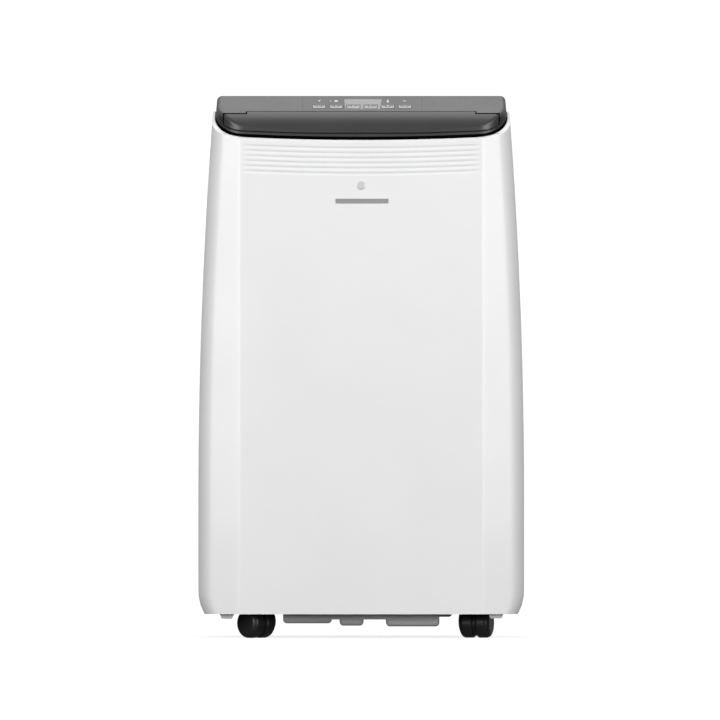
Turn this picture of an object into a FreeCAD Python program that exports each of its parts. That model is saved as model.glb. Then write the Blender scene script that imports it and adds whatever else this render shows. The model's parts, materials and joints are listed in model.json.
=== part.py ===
import FreeCAD, Part
import math
import os

# Portable air conditioner. Millimetres, +Z up, front towards -Y.
# The origin is on the floor, under the middle of the cabinet.

V = FreeCAD.Vector

# ---- driving dimensions -------------------------------------------------
HEIGHT = 701.0                 # the level top of the deck
HALF_WIDTH = 210.5
FRONT_Y = -170.0
REAR_Y = 162.0
REAR_MOST_Y = 170.0

SIDE_STRAIGHT_TOP = 180.0      # the side walls are straight up to here
SIDE_RADIUS = 6700.0           # above that they lean in along this arc
LEAN_START_Z = 100.0           # the front leans back from here
LEAN_RADIUS = 11000.0
SKIRT_Z = 31.0                 # bottom edge of both covers
SKIRT_RADIUS = 57.0            # tuck-in of the sides at the bottom
SKIRT_ARC_Z = 60.2
CREASE_X = 157.0               # vertical crease on each side of the front
FRONT_BULGE = 6.0              # how far the crease lies behind the middle
STRIP_SLOPE = 0.42             # slope of the strips beside the creases
FRONT_CORNER_RADIUS = 28.0
REAR_CORNER_RADIUS = 16.0
COVER_WALL = 3.6
SPLIT_Y = -55.0                # where the front and rear covers meet
SPLIT_GAP = 0.6

RIM_Z = 643.8                  # inner edge of the cover's rim at the front
RIM_TOP_Z = 681.0              # the rim is level from the sides to the back
RIM_SLOPE = 0.64

DECK_INSET = 4.0
DECK_WALL = 3.0
DECK_TONGUE = 10.0             # how far the deck reaches down inside the rim
DECK_EDGE_RADIUS = 7.0
SOFT_X = 140.0                 # the deck's plan has no crease: it runs straight on from here
SOFT_SLOPE = 0.068
SOFT_CORNER_RADIUS = 44.0
RIM_LEDGE = 6.0                # how far down the rim follows the deck's rounder corners

FLAP_GAP_RISE = 6.0            # the flap's lower edge above the rim
FLAP_RADIUS = 61.0
FLAP_LOW_Z = 650.0
FLAP_LOW_ANGLE = 68.0
PANEL_ANGLE = 28.0
FLAP_TOP_Z = 681.0
FLAP_STEP_Z = 677.5
FLAP_HALF_WIDTH = 179.0
FLAP_MID_HALF_WIDTH = 149.0
SIDE_GAP = 1.6                 # gaps round the flap
LOWER_GAP = 1.5
MIDDLE_GAP = 1.8
END_GAP = 0.4
HINGE_DEPTH = 6.8              # the flap's pivot below the panel
SWEEP_CLEAR = 0.35             # between the turning flap and the deck
END_CLEAR = 0.6
REVEAL_HEIGHT = 3.0            # shadow groove between the rim and the deck
REVEAL_DEPTH = 2.2

KEY_COUNT = 6
KEY_PITCH = 22.2
KEY_ROW_X = 1.0
KEY_SIZE = (17.6, 10.6)
KEY_GAP = 0.35

VANE_COUNT = 5
VANE_PITCH = 56.0
VANE_THICKNESS = 1.6
VANE_DEPTH = 24.0
VANE_HEIGHT = 26.0
VANE_PIN_RADIUS = 1.5

CASTER_X = 145.7
CASTER_Y = 115.0
WHEEL_RADIUS = 19.0
WHEEL_HALF_SPAN = 20.0
CASTER_TRAIL = 14.0
CASTER_TURNS = {"left": 45.0, "right": 165.0}   # parked directions, degrees about +Z
AXLE_RADIUS = 2.5
STEM_RADIUS = 4.0
RUNNING_FIT = 0.06

PLATE_Z = 49.0                 # underside of the base pan's plate
PLATE_THICKNESS = 3.0

EXHAUST = V(112.0, 0.0, 235.0)
EXHAUST_BORE = 62.0
UPPER_WHEEL = V(0.0, 0.0, 490.0)
UPPER_WHEEL_RADIUS = 84.0
LOWER_WHEEL = V(-72.0, 0.0, 200.0)
LOWER_WHEEL_RADIUS = 78.0
COMPRESSOR = V(122.0, -76.0, 0.0)
COMPRESSOR_RADIUS = 55.0
COMPRESSOR_Z = (68.0, 290.0)
COMPRESSOR_FOOT_Z = 66.0

FILTER_Y = (133.5, 140.5)
UPPER_FILTER_Z = (402.0, 642.0)
LOWER_FILTER_Z = (76.0, 326.0)
UPPER_WINDOW_X = (-150.0, 150.0)
LOWER_WINDOW_X = (-172.0, 26.0)
UPPER_RAIL_X = (-150.0, 150.0)
LOWER_RAIL_X = (-150.0, 30.0)
SLOT_X = 170.0                 # the filters' slots start here
FILTER_CLEAR = 0.5
FILTER_NET_END_X = 176.0
FILTER_CELL = 62.0
FILTER_BORDER = 6.0
FILTER_BAR = 3.0

FAR = 400.0

# covers
RIB_COUNT = 6
RIB_PITCH = 6.35
RIB_FIRST = 7.4
RIB_DEPTH = 0.8
RIB_WIDTH = 2.6
GRIP_Y = (-10.0, 100.0)
GRIP_Z = (368.0, 396.0)
GRIP_DEPTH_X = 184.0
WALL = 2.0
SCREW_PLACES = [(x, z) for z in (60.0, 352.0, 662.0) for x in (-170.0, 170.0)]
SCREW_RADIUS = 2.0
HOOK_PLACES = [(-70.0, 372.0), (70.0, 372.0)]
GLAND = V(-120.0, 0.0, 66.0)
GLAND_RADIUS = 9.0
CORD_RADIUS = 3.6
DRAIN = V(60.0, 0.0, 42.0)
DRAIN_BORE = 5.0
IR_PLACE = V(0.0, 0.0, 584.5)
IR_RADIUS = 6.5
BADGE = (-33.0, 35.0, 561.5, 567.5)
BADGE_THICKNESS = 0.8
UPPER_WINDOW_Z = (UPPER_FILTER_Z[0] + 14.0, UPPER_FILTER_Z[1] - 12.0)
LOWER_WINDOW_Z = (LOWER_FILTER_Z[0] + 14.0, LOWER_FILTER_Z[1] - 8.0)
GRILLE_CLEAR = 0.2
RAIL = 2.0

# deck, controls and flap
FASCIA = (-76.0, 78.0, 3.5, 36.0)
LENS_LOW = (-20.5, 24.5, 5.6)
LENS_HIGH = (-22.3, 26.8, 33.4)
KEY_LOW = 7.5
SEAM = 0.15
LUG_X = (171.0, 174.0)
HINGE_PIN = 1.5
DUCT_HALF = 150.0
MOTOR_X = (-169.5, -152.5)
MOTOR_SOCKET_X = 160.0

# air outlet
DUCT_OUTER = [(-142.0, 648.0), (-132.0, 612.0), (-34.0, 598.0), (62.0, 598.0), (62.0, 668.0), (-113.0, 668.0)]
DUCT_INNER = [(-147.0, 655.0), (-140.0, 648.0), (-130.5, 614.0), (-32.0, 600.0), (-32.0, 590.0), (60.0, 590.0),
              (60.0, 666.0), (-114.0, 666.0), (-118.0, 674.0)]
CARRIER_OFFSET = 17.0
CARRIER_SIZE = 4.0
LINK_ARM = 8.0
LINK_PIN = 1.2

# fans, coils and cooling circuit
SHAFT_RADIUS = 4.0
SCROLL_Y = (6.0, 88.0)
WHEEL_Y = (14.0, 76.0)
MOTOR_Y = (-52.0, 5.5)
BLADES = 28
DRUM_ROOM = 22.0
COIL_Y = (91.0, 121.0)
UPPER_COIL = (-148.0, 140.0, 404.0, 640.0)
LOWER_COIL = (-176.0, 28.0, 78.0, 324.0)
TUBE_RADIUS = 3.5
BEND_RADIUS = 10.5
TRAY = (-175.0, 178.0, -138.0, 128.0, 376.0, 390.0)

# base
TRAY_X = 101.0
TRAY_Y = 147.0
BLOCKS = [(-101.0, -38.0, -147.0, -50.0, 19.0), (-28.0, 3.0, -147.0, -90.0, 16.0),
          (32.0, 101.0, -147.0, 60.0, 15.0), (95.0, 118.0, -68.0, 68.0, 26.5)]
BLOCK_EDGE = 5.0
SKIRTS = [(-187.0, -160.0, 25.0), (160.0, 188.0, 25.5)]
TRAY_FLOOR = 24.0


# ---- small helpers ------------------------------------------------------
def box(x0, x1, y0, y1, z0, z1):
    return Part.makeBox(x1 - x0, y1 - y0, z1 - z0, V(x0, y0, z0))


def rod(start, end, radius):
    along = end - start
    return Part.makeCylinder(radius, along.Length, start, along)


def tube(start, end, outer, inner):
    reach = (end - start).normalize()
    return rod(start, end, outer).cut(rod(start - reach, end + reach, inner))


def joined(shapes):
    whole = shapes[0]
    for shape in shapes[1:]:
        whole = whole.fuse(shape)
    return whole.removeSplitter()


def biggest(shape):
    return max(shape.Solids, key=lambda solid: solid.Volume)


def without(shape, cutters):
    for cutter in cutters:
        shape = shape.cut(cutter)
    return shape


def prism_x(points, x0, x1):
    """Extrude a (y, z) outline along X."""
    corners = [V(x0, y, z) for y, z in points]
    face = Part.Face(Part.makePolygon(corners + [corners[0]]))
    return face.extrude(V(x1 - x0, 0, 0))


def prism_y(points, y0, y1):
    """Extrude an (x, z) outline along Y."""
    corners = [V(x, y0, z) for x, z in points]
    face = Part.Face(Part.makePolygon(corners + [corners[0]]))
    return face.extrude(V(0, y1 - y0, 0))


def save(name, shape):
    os.makedirs("parts", exist_ok=True)
    shape.exportStep("parts/" + name + ".step")


# ---- the cabinet's outer form -------------------------------------------
def half_width_at(z, inset=0.0):
    radius = SIDE_RADIUS - inset
    rise = max(0.0, z - SIDE_STRAIGHT_TOP)
    return HALF_WIDTH - SIDE_RADIUS + math.sqrt(radius ** 2 - rise ** 2)


def front_y_at(z):
    return FRONT_Y + max(0.0, z - LEAN_START_Z) ** 2 / (2 * LEAN_RADIUS)


def silhouette_prism(inset):
    """The cabinet seen from the front, pushed from front to back."""
    top = HEIGHT + 20.0
    tuck = SKIRT_RADIUS - inset
    tuck_x = HALF_WIDTH - SKIRT_RADIUS
    low = SKIRT_Z
    drop = SKIRT_ARC_Z - low
    wall = HALF_WIDTH - inset
    y = FRONT_Y - 20.0

    def at(x, z):
        return V(x, y, z)

    def side(sign):
        half_drop = drop / 2
        low_point = at(sign * (tuck_x + math.sqrt(tuck ** 2 - drop ** 2)), low)
        mid_point = at(sign * (tuck_x + math.sqrt(tuck ** 2 - half_drop ** 2)), SKIRT_ARC_Z - half_drop)
        wall_low = at(sign * wall, SKIRT_ARC_Z)
        wall_top = at(sign * wall, SIDE_STRAIGHT_TOP)
        mid_z = (SIDE_STRAIGHT_TOP + top) / 2
        arc_mid = at(sign * half_width_at(mid_z, inset), mid_z)
        arc_top = at(sign * half_width_at(top, inset), top)
        edges = [Part.Arc(low_point, mid_point, wall_low).toShape(),
                 Part.makeLine(wall_low, wall_top),
                 Part.Arc(wall_top, arc_mid, arc_top).toShape()]
        return edges, low_point, arc_top

    right, right_low, right_top = side(1)
    left, left_low, left_top = side(-1)
    edges = right + left + [Part.makeLine(left_low, right_low), Part.makeLine(left_top, right_top)]
    wire = Part.Wire(Part.__sortEdges__(edges))
    return Part.Face(wire).extrude(V(0, REAR_Y - inset - y, 0))


def front_sweep(inset, turn_x=CREASE_X, slope=STRIP_SLOPE):
    """The front's plan outline, turned about a far axis so that it leans back towards the top."""
    z = LEAN_START_Z
    reach = 240.0
    back = 260.0
    front = FRONT_Y + inset
    turn_y = front + FRONT_BULGE * (turn_x / CREASE_X) ** 2
    end_y = turn_y + slope * (reach - turn_x)
    middle = Part.Arc(V(-turn_x, turn_y, z), V(0, front, z), V(turn_x, turn_y, z)).toShape()
    outline = Part.makePolygon([V(turn_x, turn_y, z), V(reach, end_y, z), V(reach, back, z),
                                V(-reach, back, z), V(-reach, end_y, z), V(-turn_x, turn_y, z)])
    face = Part.Face(Part.Wire([middle] + outline.Edges))
    axis_point = V(0, LEAN_RADIUS + FRONT_Y, z)
    up_angle = math.degrees((HEIGHT + 70.0 - z) / LEAN_RADIUS)
    upper = face.revolve(axis_point, V(1, 0, 0), -up_angle)
    lower = face.extrude(V(0, 0, SKIRT_Z - 25.0 - z))
    return upper.fuse(lower).removeSplitter()


def upright_edges(body, y_low, y_high):
    """The long edges up the body's corners, between two depths."""
    found = []
    for edge in body.Edges:
        middle = edge.CenterOfMass
        is_outside = abs(middle.x) > CREASE_X + 12.0
        if edge.BoundBox.ZLength > 12.0 and is_outside and y_low < middle.y < y_high:
            found.append(edge)
    return found


def outer_body(inset):
    body = silhouette_prism(inset).common(front_sweep(inset))
    body = body.makeFillet(REAR_CORNER_RADIUS - inset, upright_edges(body, 0.0, FAR))
    return body.makeFillet(FRONT_CORNER_RADIUS - inset, upright_edges(body, -FAR, -60.0))


def soft_body(inset):
    """The same body with a creaseless front and rounder front corners, as the deck has."""
    body = silhouette_prism(inset).common(front_sweep(inset, SOFT_X, SOFT_SLOPE))
    body = body.makeFillet(REAR_CORNER_RADIUS - inset, upright_edges(body, 0.0, FAR))
    return body.makeFillet(SOFT_CORNER_RADIUS - inset, upright_edges(body, -FAR, -60.0))


# ---- rim, deck and flap limits ------------------------------------------
RIM_FRONT_Y = front_y_at(RIM_Z) + COVER_WALL
RIM_CORNER_Y = RIM_FRONT_Y + (RIM_TOP_Z - RIM_Z) / RIM_SLOPE


def above_rim(rise):
    """Everything above the rim line, moved up along Z by rise."""
    start = RIM_FRONT_Y - 60.0
    outline = [(start, RIM_Z - 60.0 * RIM_SLOPE + rise),
               (RIM_CORNER_Y, RIM_TOP_Z + rise),
               (FAR, RIM_TOP_Z + rise), (FAR, FAR * 3), (start, FAR * 3)]
    return prism_x(outline, -FAR, FAR)


def unit(angle):
    return math.cos(math.radians(angle)), math.sin(math.radians(angle))


FLAP_CENTRE_Y = front_y_at(FLAP_LOW_Z) + DECK_INSET + FLAP_RADIUS * unit(FLAP_LOW_ANGLE)[1]
FLAP_CENTRE_Z = FLAP_LOW_Z - FLAP_RADIUS * unit(FLAP_LOW_ANGLE)[0]
PANEL_Y = FLAP_CENTRE_Y - FLAP_RADIUS * unit(PANEL_ANGLE)[1]
PANEL_Z = FLAP_CENTRE_Z + FLAP_RADIUS * unit(PANEL_ANGLE)[0]
SLOPE = V(0, unit(PANEL_ANGLE)[0], unit(PANEL_ANGLE)[1])
NORMAL = V(0, -unit(PANEL_ANGLE)[1], unit(PANEL_ANGLE)[0])
PANEL_START = V(0, PANEL_Y, PANEL_Z)
HINGE_BACK = (FLAP_TOP_Z - FLAP_STEP_Z) / unit(PANEL_ANGLE)[1]
HINGE = PANEL_START - SLOPE * HINGE_BACK - NORMAL * HINGE_DEPTH
HINGE_DROP = FLAP_RADIUS - math.sqrt(FLAP_RADIUS ** 2 - HINGE_BACK ** 2)
MIDDLE_SWEEP = math.hypot(HINGE_BACK - MIDDLE_GAP, HINGE_DEPTH) + SWEEP_CLEAR
END_SWEEP = math.hypot(END_GAP, HINGE_DEPTH - HINGE_DROP) + END_CLEAR


def panel_point(x, along, depth=0.0):
    """A point on the slanted panel: across, up the slope, and below the surface."""
    return V(x, 0, 0) + PANEL_START + SLOPE * along - NORMAL * depth


def deck_profile_prism(inset):
    """Side profile of the deck: curved flap, slanted panel, level top."""
    x = -FAR
    radius = FLAP_RADIUS - inset

    def on_arc(angle):
        return V(x, FLAP_CENTRE_Y - radius * unit(angle)[1], FLAP_CENTRE_Z + radius * unit(angle)[0])

    low = on_arc(FLAP_LOW_ANGLE)
    high = on_arc(PANEL_ANGLE)
    top_z = HEIGHT - inset
    slope_end = high + SLOPE * ((top_z - high.z) / SLOPE.z)
    tangent = V(0, *unit(FLAP_LOW_ANGLE))
    foot = low - tangent * 22.0
    edges = [Part.Arc(low, on_arc((FLAP_LOW_ANGLE + PANEL_ANGLE) / 2), high).toShape(),
             Part.makeLine(high, slope_end),
             Part.makeLine(slope_end, V(x, FAR, top_z)),
             Part.makeLine(V(x, FAR, top_z), V(x, FAR, 500.0)),
             Part.makeLine(V(x, FAR, 500.0), V(x, foot.y, 500.0)),
             Part.makeLine(V(x, foot.y, 500.0), foot),
             Part.makeLine(foot, low)]
    return Part.Face(Part.Wire(edges)).extrude(V(2 * FAR, 0, 0))


def deck_outer():
    deck = soft_body(DECK_INSET).common(deck_profile_prism(0.0))
    rounded = []
    for edge in deck.Edges:
        middle = edge.CenterOfMass
        level_top = middle.z > 690.0 and edge.BoundBox.ZLength < 25.0
        if level_top and (abs(middle.x) > 178.0 or middle.y > 140.0):
            rounded.append(edge)
    return deck.makeFillet(DECK_EDGE_RADIUS, rounded)


def deck_skin():
    return deck_outer().cut(soft_body(DECK_INSET + DECK_WALL).common(deck_profile_prism(DECK_WALL)))


def flap_zone(lower=0.0, side=0.0, middle_top=0.0, end_top=0.0):
    """The space that the flap fills, shrunk by a gap on each kind of edge."""
    half = FLAP_HALF_WIDTH - side
    step = FLAP_MID_HALF_WIDTH - side
    raised = above_rim(FLAP_GAP_RISE + lower * math.hypot(1.0, RIM_SLOPE))
    zone = raised.common(box(-half, half, -FAR, PANEL_Y + 1.0, 500, FLAP_TOP_Z + 2))
    middle = half_space_below(PANEL_START - SLOPE * middle_top, -step, step)
    end_plane = PANEL_START - SLOPE * (end_top + HINGE_BACK)
    ends = [half_space_below(end_plane, -half, -step), half_space_below(end_plane, step, half)]
    return zone.common(middle.fuse(ends[0]).fuse(ends[1]))


def half_space_below(point, x0, x1):
    """Everything down the slope from a plane across the panel."""
    a = point + NORMAL * 60.0
    b = point - NORMAL * 60.0
    outline = [(a.y, a.z), (b.y, b.z), (b.y - 200 * SLOPE.y, b.z - 200 * SLOPE.z),
               (a.y - 200 * SLOPE.y, a.z - 200 * SLOPE.z)]
    return prism_x(outline, x0, x1)


def panel_box(x0, x1, s0, s1, d0, d1):
    """A block on the slanted panel: across, up the slope, and below the surface."""
    corners = [panel_point(x0, s, d) for s, d in ((s0, d0), (s1, d0), (s1, d1), (s0, d1))]
    face = Part.Face(Part.makePolygon(corners + [corners[0]]))
    return face.extrude(V(x1 - x0, 0, 0))


# ---- covers -------------------------------------------------------------


def shell():
    return outer_body(0.0).cut(outer_body(COVER_WALL)).cut(above_rim(0.0))


def rim_ledges():
    """Where the rim thickens inwards at the front corners, to meet the deck's rounder plan."""
    band = outer_body(COVER_WALL - 0.5).cut(soft_body(COVER_WALL))
    band = band.common(above_rim(-RIM_LEDGE)).cut(above_rim(0.0))
    return [biggest(band.common(box(*sorted((sign * 152.0, sign * FAR)), -FAR, -105.0, 500, HEIGHT)))
            for sign in (-1, 1)]


def grip_box(sign, clearance=0.0):
    low, high = sorted((sign * (GRIP_DEPTH_X - WALL - clearance), sign * FAR))
    edge = WALL + clearance
    return box(low, high, GRIP_Y[0] - edge, GRIP_Y[1] + edge, GRIP_Z[0] - edge, GRIP_Z[1] + edge)


def grip_hollow(sign):
    low, high = sorted((sign * GRIP_DEPTH_X, sign * FAR))
    return box(low, high, *GRIP_Y, *GRIP_Z)


def front_cover(whole_shell):
    cover = whole_shell.cut(box(-FAR, FAR, SPLIT_Y, FAR, 0, HEIGHT))
    layer = outer_body(0.0).cut(outer_body(RIB_DEPTH))
    layer = layer.common(box(-CREASE_X + 1, CREASE_X - 1, -FAR, SPLIT_Y, 500, HEIGHT))
    grooves = []
    for index in range(RIB_COUNT):
        rise = -RIB_FIRST - index * RIB_PITCH
        band = above_rim(rise - RIB_WIDTH / 2).cut(above_rim(rise + RIB_WIDTH / 2))
        grooves.append(layer.common(band))
    sensor_hole = rod(V(0, FRONT_Y, IR_PLACE.z), V(0, -100, IR_PLACE.z), IR_RADIUS + 0.15)
    cover = without(cover, grooves + [sensor_hole])
    for ledge in rim_ledges():
        cover = cover.fuse(ledge)
    return cover


def window(x_range, z_range):
    return box(x_range[0], x_range[1], REAR_Y - 20, FAR, z_range[0], z_range[1])


def filter_block(inner_x, side, z_range, clearance=0.0):
    """From the filter's inner end out past the side that it slides out of."""
    low, high = sorted((inner_x, side * FAR))
    return box(low, high, FILTER_Y[0] - clearance, FILTER_Y[1] + clearance,
               z_range[0] - clearance, z_range[1] + clearance)


def rear_cover(whole_shell):
    cover = whole_shell.cut(box(-FAR, FAR, -FAR, SPLIT_Y + SPLIT_GAP, 0, HEIGHT))
    rails = []
    inner = REAR_Y - COVER_WALL
    for (x_low, x_high), (z_low, z_high) in ((UPPER_RAIL_X, UPPER_FILTER_Z), (LOWER_RAIL_X, LOWER_FILTER_Z)):
        top = z_high + FILTER_CLEAR
        foot = z_low - FILTER_CLEAR
        rails.append(box(x_low, x_high, FILTER_Y[0] - 3, inner, top, top + RAIL))
        rails.append(box(x_low, x_high, FILTER_Y[0] - 3, inner, foot - RAIL, foot))
    exhaust_hole = rod(V(EXHAUST.x, 100, EXHAUST.z), V(EXHAUST.x, FAR, EXHAUST.z), EXHAUST_BORE + 4.3)
    cover = joined([cover] + rails)
    cuts = [window(UPPER_WINDOW_X, UPPER_WINDOW_Z), window(LOWER_WINDOW_X, LOWER_WINDOW_Z), exhaust_hole,
            filter_block(SLOT_X, 1, UPPER_FILTER_Z, FILTER_CLEAR),
            filter_block(-SLOT_X, -1, LOWER_FILTER_Z, FILTER_CLEAR),
            rod(V(GLAND.x, 150, GLAND.z), V(GLAND.x, FAR, GLAND.z), GLAND_RADIUS - 2.0),
            rod(V(DRAIN.x, 150, DRAIN.z), V(DRAIN.x, FAR, DRAIN.z), DRAIN_BORE + 3.2),
            grip_box(1, 0.3), grip_box(-1, 0.3)]
    for x, z in SCREW_PLACES:
        cuts.append(rod(V(x, 150, z), V(x, FAR, z), SCREW_RADIUS + 0.1))
    return without(cover, cuts)


def side_grips():
    body = outer_body(0.0)
    cups = []
    for sign in (-1, 1):
        cups.append(body.common(grip_box(sign)).cut(grip_hollow(sign)))
    return Part.makeCompound(cups)


def intake_grille(x_range, z_range):
    clear = GRILLE_CLEAR
    x0, x1 = x_range[0] + clear, x_range[1] - clear
    z0, z1 = z_range[0] + clear, z_range[1] - clear
    panel = box(x0, x1, REAR_Y - COVER_WALL, REAR_Y - 0.4, z0, z1)
    border = 5.0
    columns = 4
    post = 4.0
    slot_height = 3.2
    slot_pitch = 6.4
    width = (x1 - x0 - 2 * border - (columns - 1) * post) / columns
    rows = int((z1 - z0 - 2 * border) / slot_pitch)
    slots = []
    for column in range(columns):
        left = x0 + border + column * (width + post)
        for row in range(rows):
            low = z0 + border + row * slot_pitch
            slots.append(box(left, left + width, REAR_Y - 10, REAR_Y + 5, low, low + slot_height))
    return panel.cut(Part.makeCompound(slots))


def intake_filter(inner_x, side, z_range):
    """A frame with a net that slides out of the side; its end closes the slot."""
    frame = filter_block(inner_x, side, z_range).common(outer_body(0.0))
    low_x, high_x = sorted((inner_x, side * FILTER_NET_END_X))
    columns = round((high_x - low_x) / FILTER_CELL)
    rows = round((z_range[1] - z_range[0]) / FILTER_CELL)
    width = (high_x - low_x - 2 * FILTER_BORDER - (columns - 1) * FILTER_BAR) / columns
    height = (z_range[1] - z_range[0] - 2 * FILTER_BORDER - (rows - 1) * FILTER_BAR) / rows
    windows = []
    for column in range(columns):
        for row in range(rows):
            x = low_x + FILTER_BORDER + column * (width + FILTER_BAR)
            z = z_range[0] + FILTER_BORDER + row * (height + FILTER_BAR)
            windows.append(box(x, x + width, FILTER_Y[0] - 1, FILTER_Y[1] + 1, z, z + height))
    middle = (FILTER_Y[0] + FILTER_Y[1]) / 2
    net = box(low_x + 2, high_x - 2, middle - 0.3, middle + 0.3, z_range[0] + 2, z_range[1] - 2)
    z_mid = (z_range[0] + z_range[1]) / 2
    grip_x = sorted((side * (half_width_at(z_mid) - 5), side * FAR))
    notch = box(grip_x[0], grip_x[1], FILTER_Y[0] - 1, FILTER_Y[1] - 3, z_mid - 20, z_mid + 20)
    return joined([frame.cut(Part.makeCompound(windows)).cut(notch), net])


def exhaust_collar():
    mouth = V(EXHAUST.x, REAR_MOST_Y, EXHAUST.z)
    root = V(EXHAUST.x, 120.0, EXHAUST.z)
    ring = rod(root, mouth, EXHAUST_BORE + 4.0)
    flange = rod(V(EXHAUST.x, REAR_Y, EXHAUST.z), V(EXHAUST.x, REAR_Y + 2.5, EXHAUST.z), EXHAUST_BORE + 9.0)
    return ring.fuse(flange).cut(rod(root - V(0, 5, 0), mouth + V(0, 5, 0), EXHAUST_BORE))


def cord_gland():
    start = V(GLAND.x, REAR_Y, GLAND.z)
    end = V(GLAND.x, REAR_Y + 6.0, GLAND.z)
    body = Part.makeCone(GLAND_RADIUS, GLAND_RADIUS - 2.0, 6.0, start, V(0, 1, 0))
    neck = rod(V(GLAND.x, REAR_Y - 8, GLAND.z), start, GLAND_RADIUS - 2.3)
    return body.fuse(neck).cut(rod(V(GLAND.x, REAR_Y - 20, GLAND.z), end + V(0, 5, 0), CORD_RADIUS))


def cord_hooks():
    hooks = []
    for x, z in HOOK_PLACES:
        stem = box(x - 12, x + 12, REAR_Y, REAR_MOST_Y - 2.5, z - 3, z + 3)
        lip = box(x - 12, x + 12, REAR_MOST_Y - 2.5, REAR_MOST_Y, z - 3, z + 14)
        hooks.append(stem.fuse(lip))
    return Part.makeCompound(hooks)


def cover_screws():
    screws = []
    for x, z in SCREW_PLACES:
        head = rod(V(x, REAR_Y, z), V(x, REAR_Y + 2.2, z), 4.0)
        shank = rod(V(x, REAR_Y - 9, z), V(x, REAR_Y, z), SCREW_RADIUS)
        slot_a = box(x - 2.4, x + 2.4, REAR_Y + 1.2, REAR_Y + 4, z - 0.5, z + 0.5)
        slot_b = box(x - 0.5, x + 0.5, REAR_Y + 1.2, REAR_Y + 4, z - 2.4, z + 2.4)
        screws.append(head.fuse(shank).cut(slot_a).cut(slot_b))
    return Part.makeCompound(screws)


def ir_window(whole_shell):
    return whole_shell.common(rod(V(0, -200, IR_PLACE.z), V(0, -100, IR_PLACE.z), IR_RADIUS))


def badge_bar():
    x0, x1, z0, z1 = BADGE
    layer = outer_body(-BADGE_THICKNESS).cut(outer_body(0.0))
    return layer.common(box(x0, x1, -200, -100, z0, z1))


# ---- deck, controls and flap --------------------------------------------


def key_x(index):
    return KEY_ROW_X + (index - (KEY_COUNT - 1) / 2) * KEY_PITCH


def key_holes():
    half = KEY_SIZE[0] / 2 + KEY_GAP
    low = KEY_LOW - KEY_GAP
    high = KEY_LOW + KEY_SIZE[1] + KEY_GAP
    return [panel_box(key_x(i) - half, key_x(i) + half, low, high, -5, 8) for i in range(KEY_COUNT)]


def lens_block(gap, depth):
    x0, x1, s0 = LENS_LOW
    x2, x3, s1 = LENS_HIGH
    outline = [panel_point(x0 - gap, s0 - gap, -3), panel_point(x1 + gap, s0 - gap, -3),
               panel_point(x3 + gap, s1 + gap, -3), panel_point(x2 - gap, s1 + gap, -3)]
    return Part.Face(Part.makePolygon(outline + [outline[0]])).extrude(NORMAL * -(depth + 3))


def hinge_rod(x0, x1, radius):
    return rod(V(x0, HINGE.y, HINGE.z), V(x1, HINGE.y, HINGE.z), radius)


def hinge_point(along, up):
    """A point (y, z) near the hinge: up the panel's slope, and out along its normal."""
    place = HINGE + SLOPE * along + NORMAL * up
    return place.y, place.z


def top_deck(skin):
    x0, x1, s0, s1 = FASCIA
    opening = panel_box(x0 - SEAM, x1 + SEAM, s0 - SEAM, s1 + SEAM, -5, 8)
    middle_sweep = hinge_rod(-FLAP_MID_HALF_WIDTH, FLAP_MID_HALF_WIDTH, MIDDLE_SWEEP)
    end_sweep = hinge_rod(-FLAP_HALF_WIDTH, FLAP_HALF_WIDTH, END_SWEEP)
    inner = soft_body(DECK_INSET + REVEAL_DEPTH)
    reveal = above_rim(-DECK_TONGUE - 5).cut(above_rim(REVEAL_HEIGHT)).cut(inner)
    cuts = [flap_zone(), opening, middle_sweep, end_sweep, reveal]
    return biggest(without(skin.common(above_rim(-DECK_TONGUE)), cuts))


def control_fascia(skin):
    plate = skin.common(panel_box(*FASCIA, -5, 8))
    return without(plate, [lens_block(SEAM, 8)] + key_holes())


def display_lens(skin):
    return without(skin.common(lens_block(0.0, 8)), key_holes())


def key(index):
    x = key_x(index)
    half = KEY_SIZE[0] / 2
    high = KEY_LOW + KEY_SIZE[1]
    cap = panel_box(x - half, x + half, KEY_LOW, high, -0.2, 3.5)
    flange = panel_box(x - half - 1.2, x + half + 1.2, KEY_LOW - 1.2, high + 1.2, 3.5, 4.2)
    centre = KEY_LOW + KEY_SIZE[1] / 2
    stem = rod(panel_point(x, centre, 4.2), panel_point(x, centre, 6.2), 2.0)
    return joined([cap, flange, stem])


def control_board():
    board = panel_box(-74, 76, 5, 34, 7.4, 9.0)
    chips = [panel_box(x, x + 12, 20, 30, 9.0, 11.5) for x in (-60.0, -20.0, 25.0, 52.0)]
    return joined([board] + chips)


def outlet_flap(skin):
    parts = [skin.common(flap_zone(LOWER_GAP, SIDE_GAP, MIDDLE_GAP, END_GAP))]
    web = [hinge_point(-2.0, -1.0), hinge_point(1.5, 1.5), hinge_point(-1.2, 4.6), hinge_point(-9.0, 3.2)]
    for sign in (-1, 1):
        low, high = sorted((sign * LUG_X[0], sign * LUG_X[1]))
        parts.append(hinge_rod(low, high, 2.6))
        parts.append(prism_x(web, low, high))
    parts.append(hinge_rod(DUCT_HALF - 1.0, LUG_X[0], HINGE_PIN))
    parts.append(hinge_rod(-LUG_X[0], -MOTOR_SOCKET_X, HINGE_PIN))
    return joined(parts)


def flap_motor():
    low, high = MOTOR_X
    centre = HINGE - NORMAL * 15.0
    can = rod(V(low, centre.y, centre.z), V(high, centre.y, centre.z), 11.0)
    neck_points = [hinge_point(2.2, 0), hinge_point(-2.2, 0), hinge_point(-4, -8), hinge_point(4, -8)]
    neck = prism_x(neck_points, low, high)
    bore = hinge_rod(low - 1, 1.0 - MOTOR_SOCKET_X, HINGE_PIN + RUNNING_FIT)
    return joined([can, hinge_rod(low, high, 2.5), neck]).cut(bore)


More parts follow.
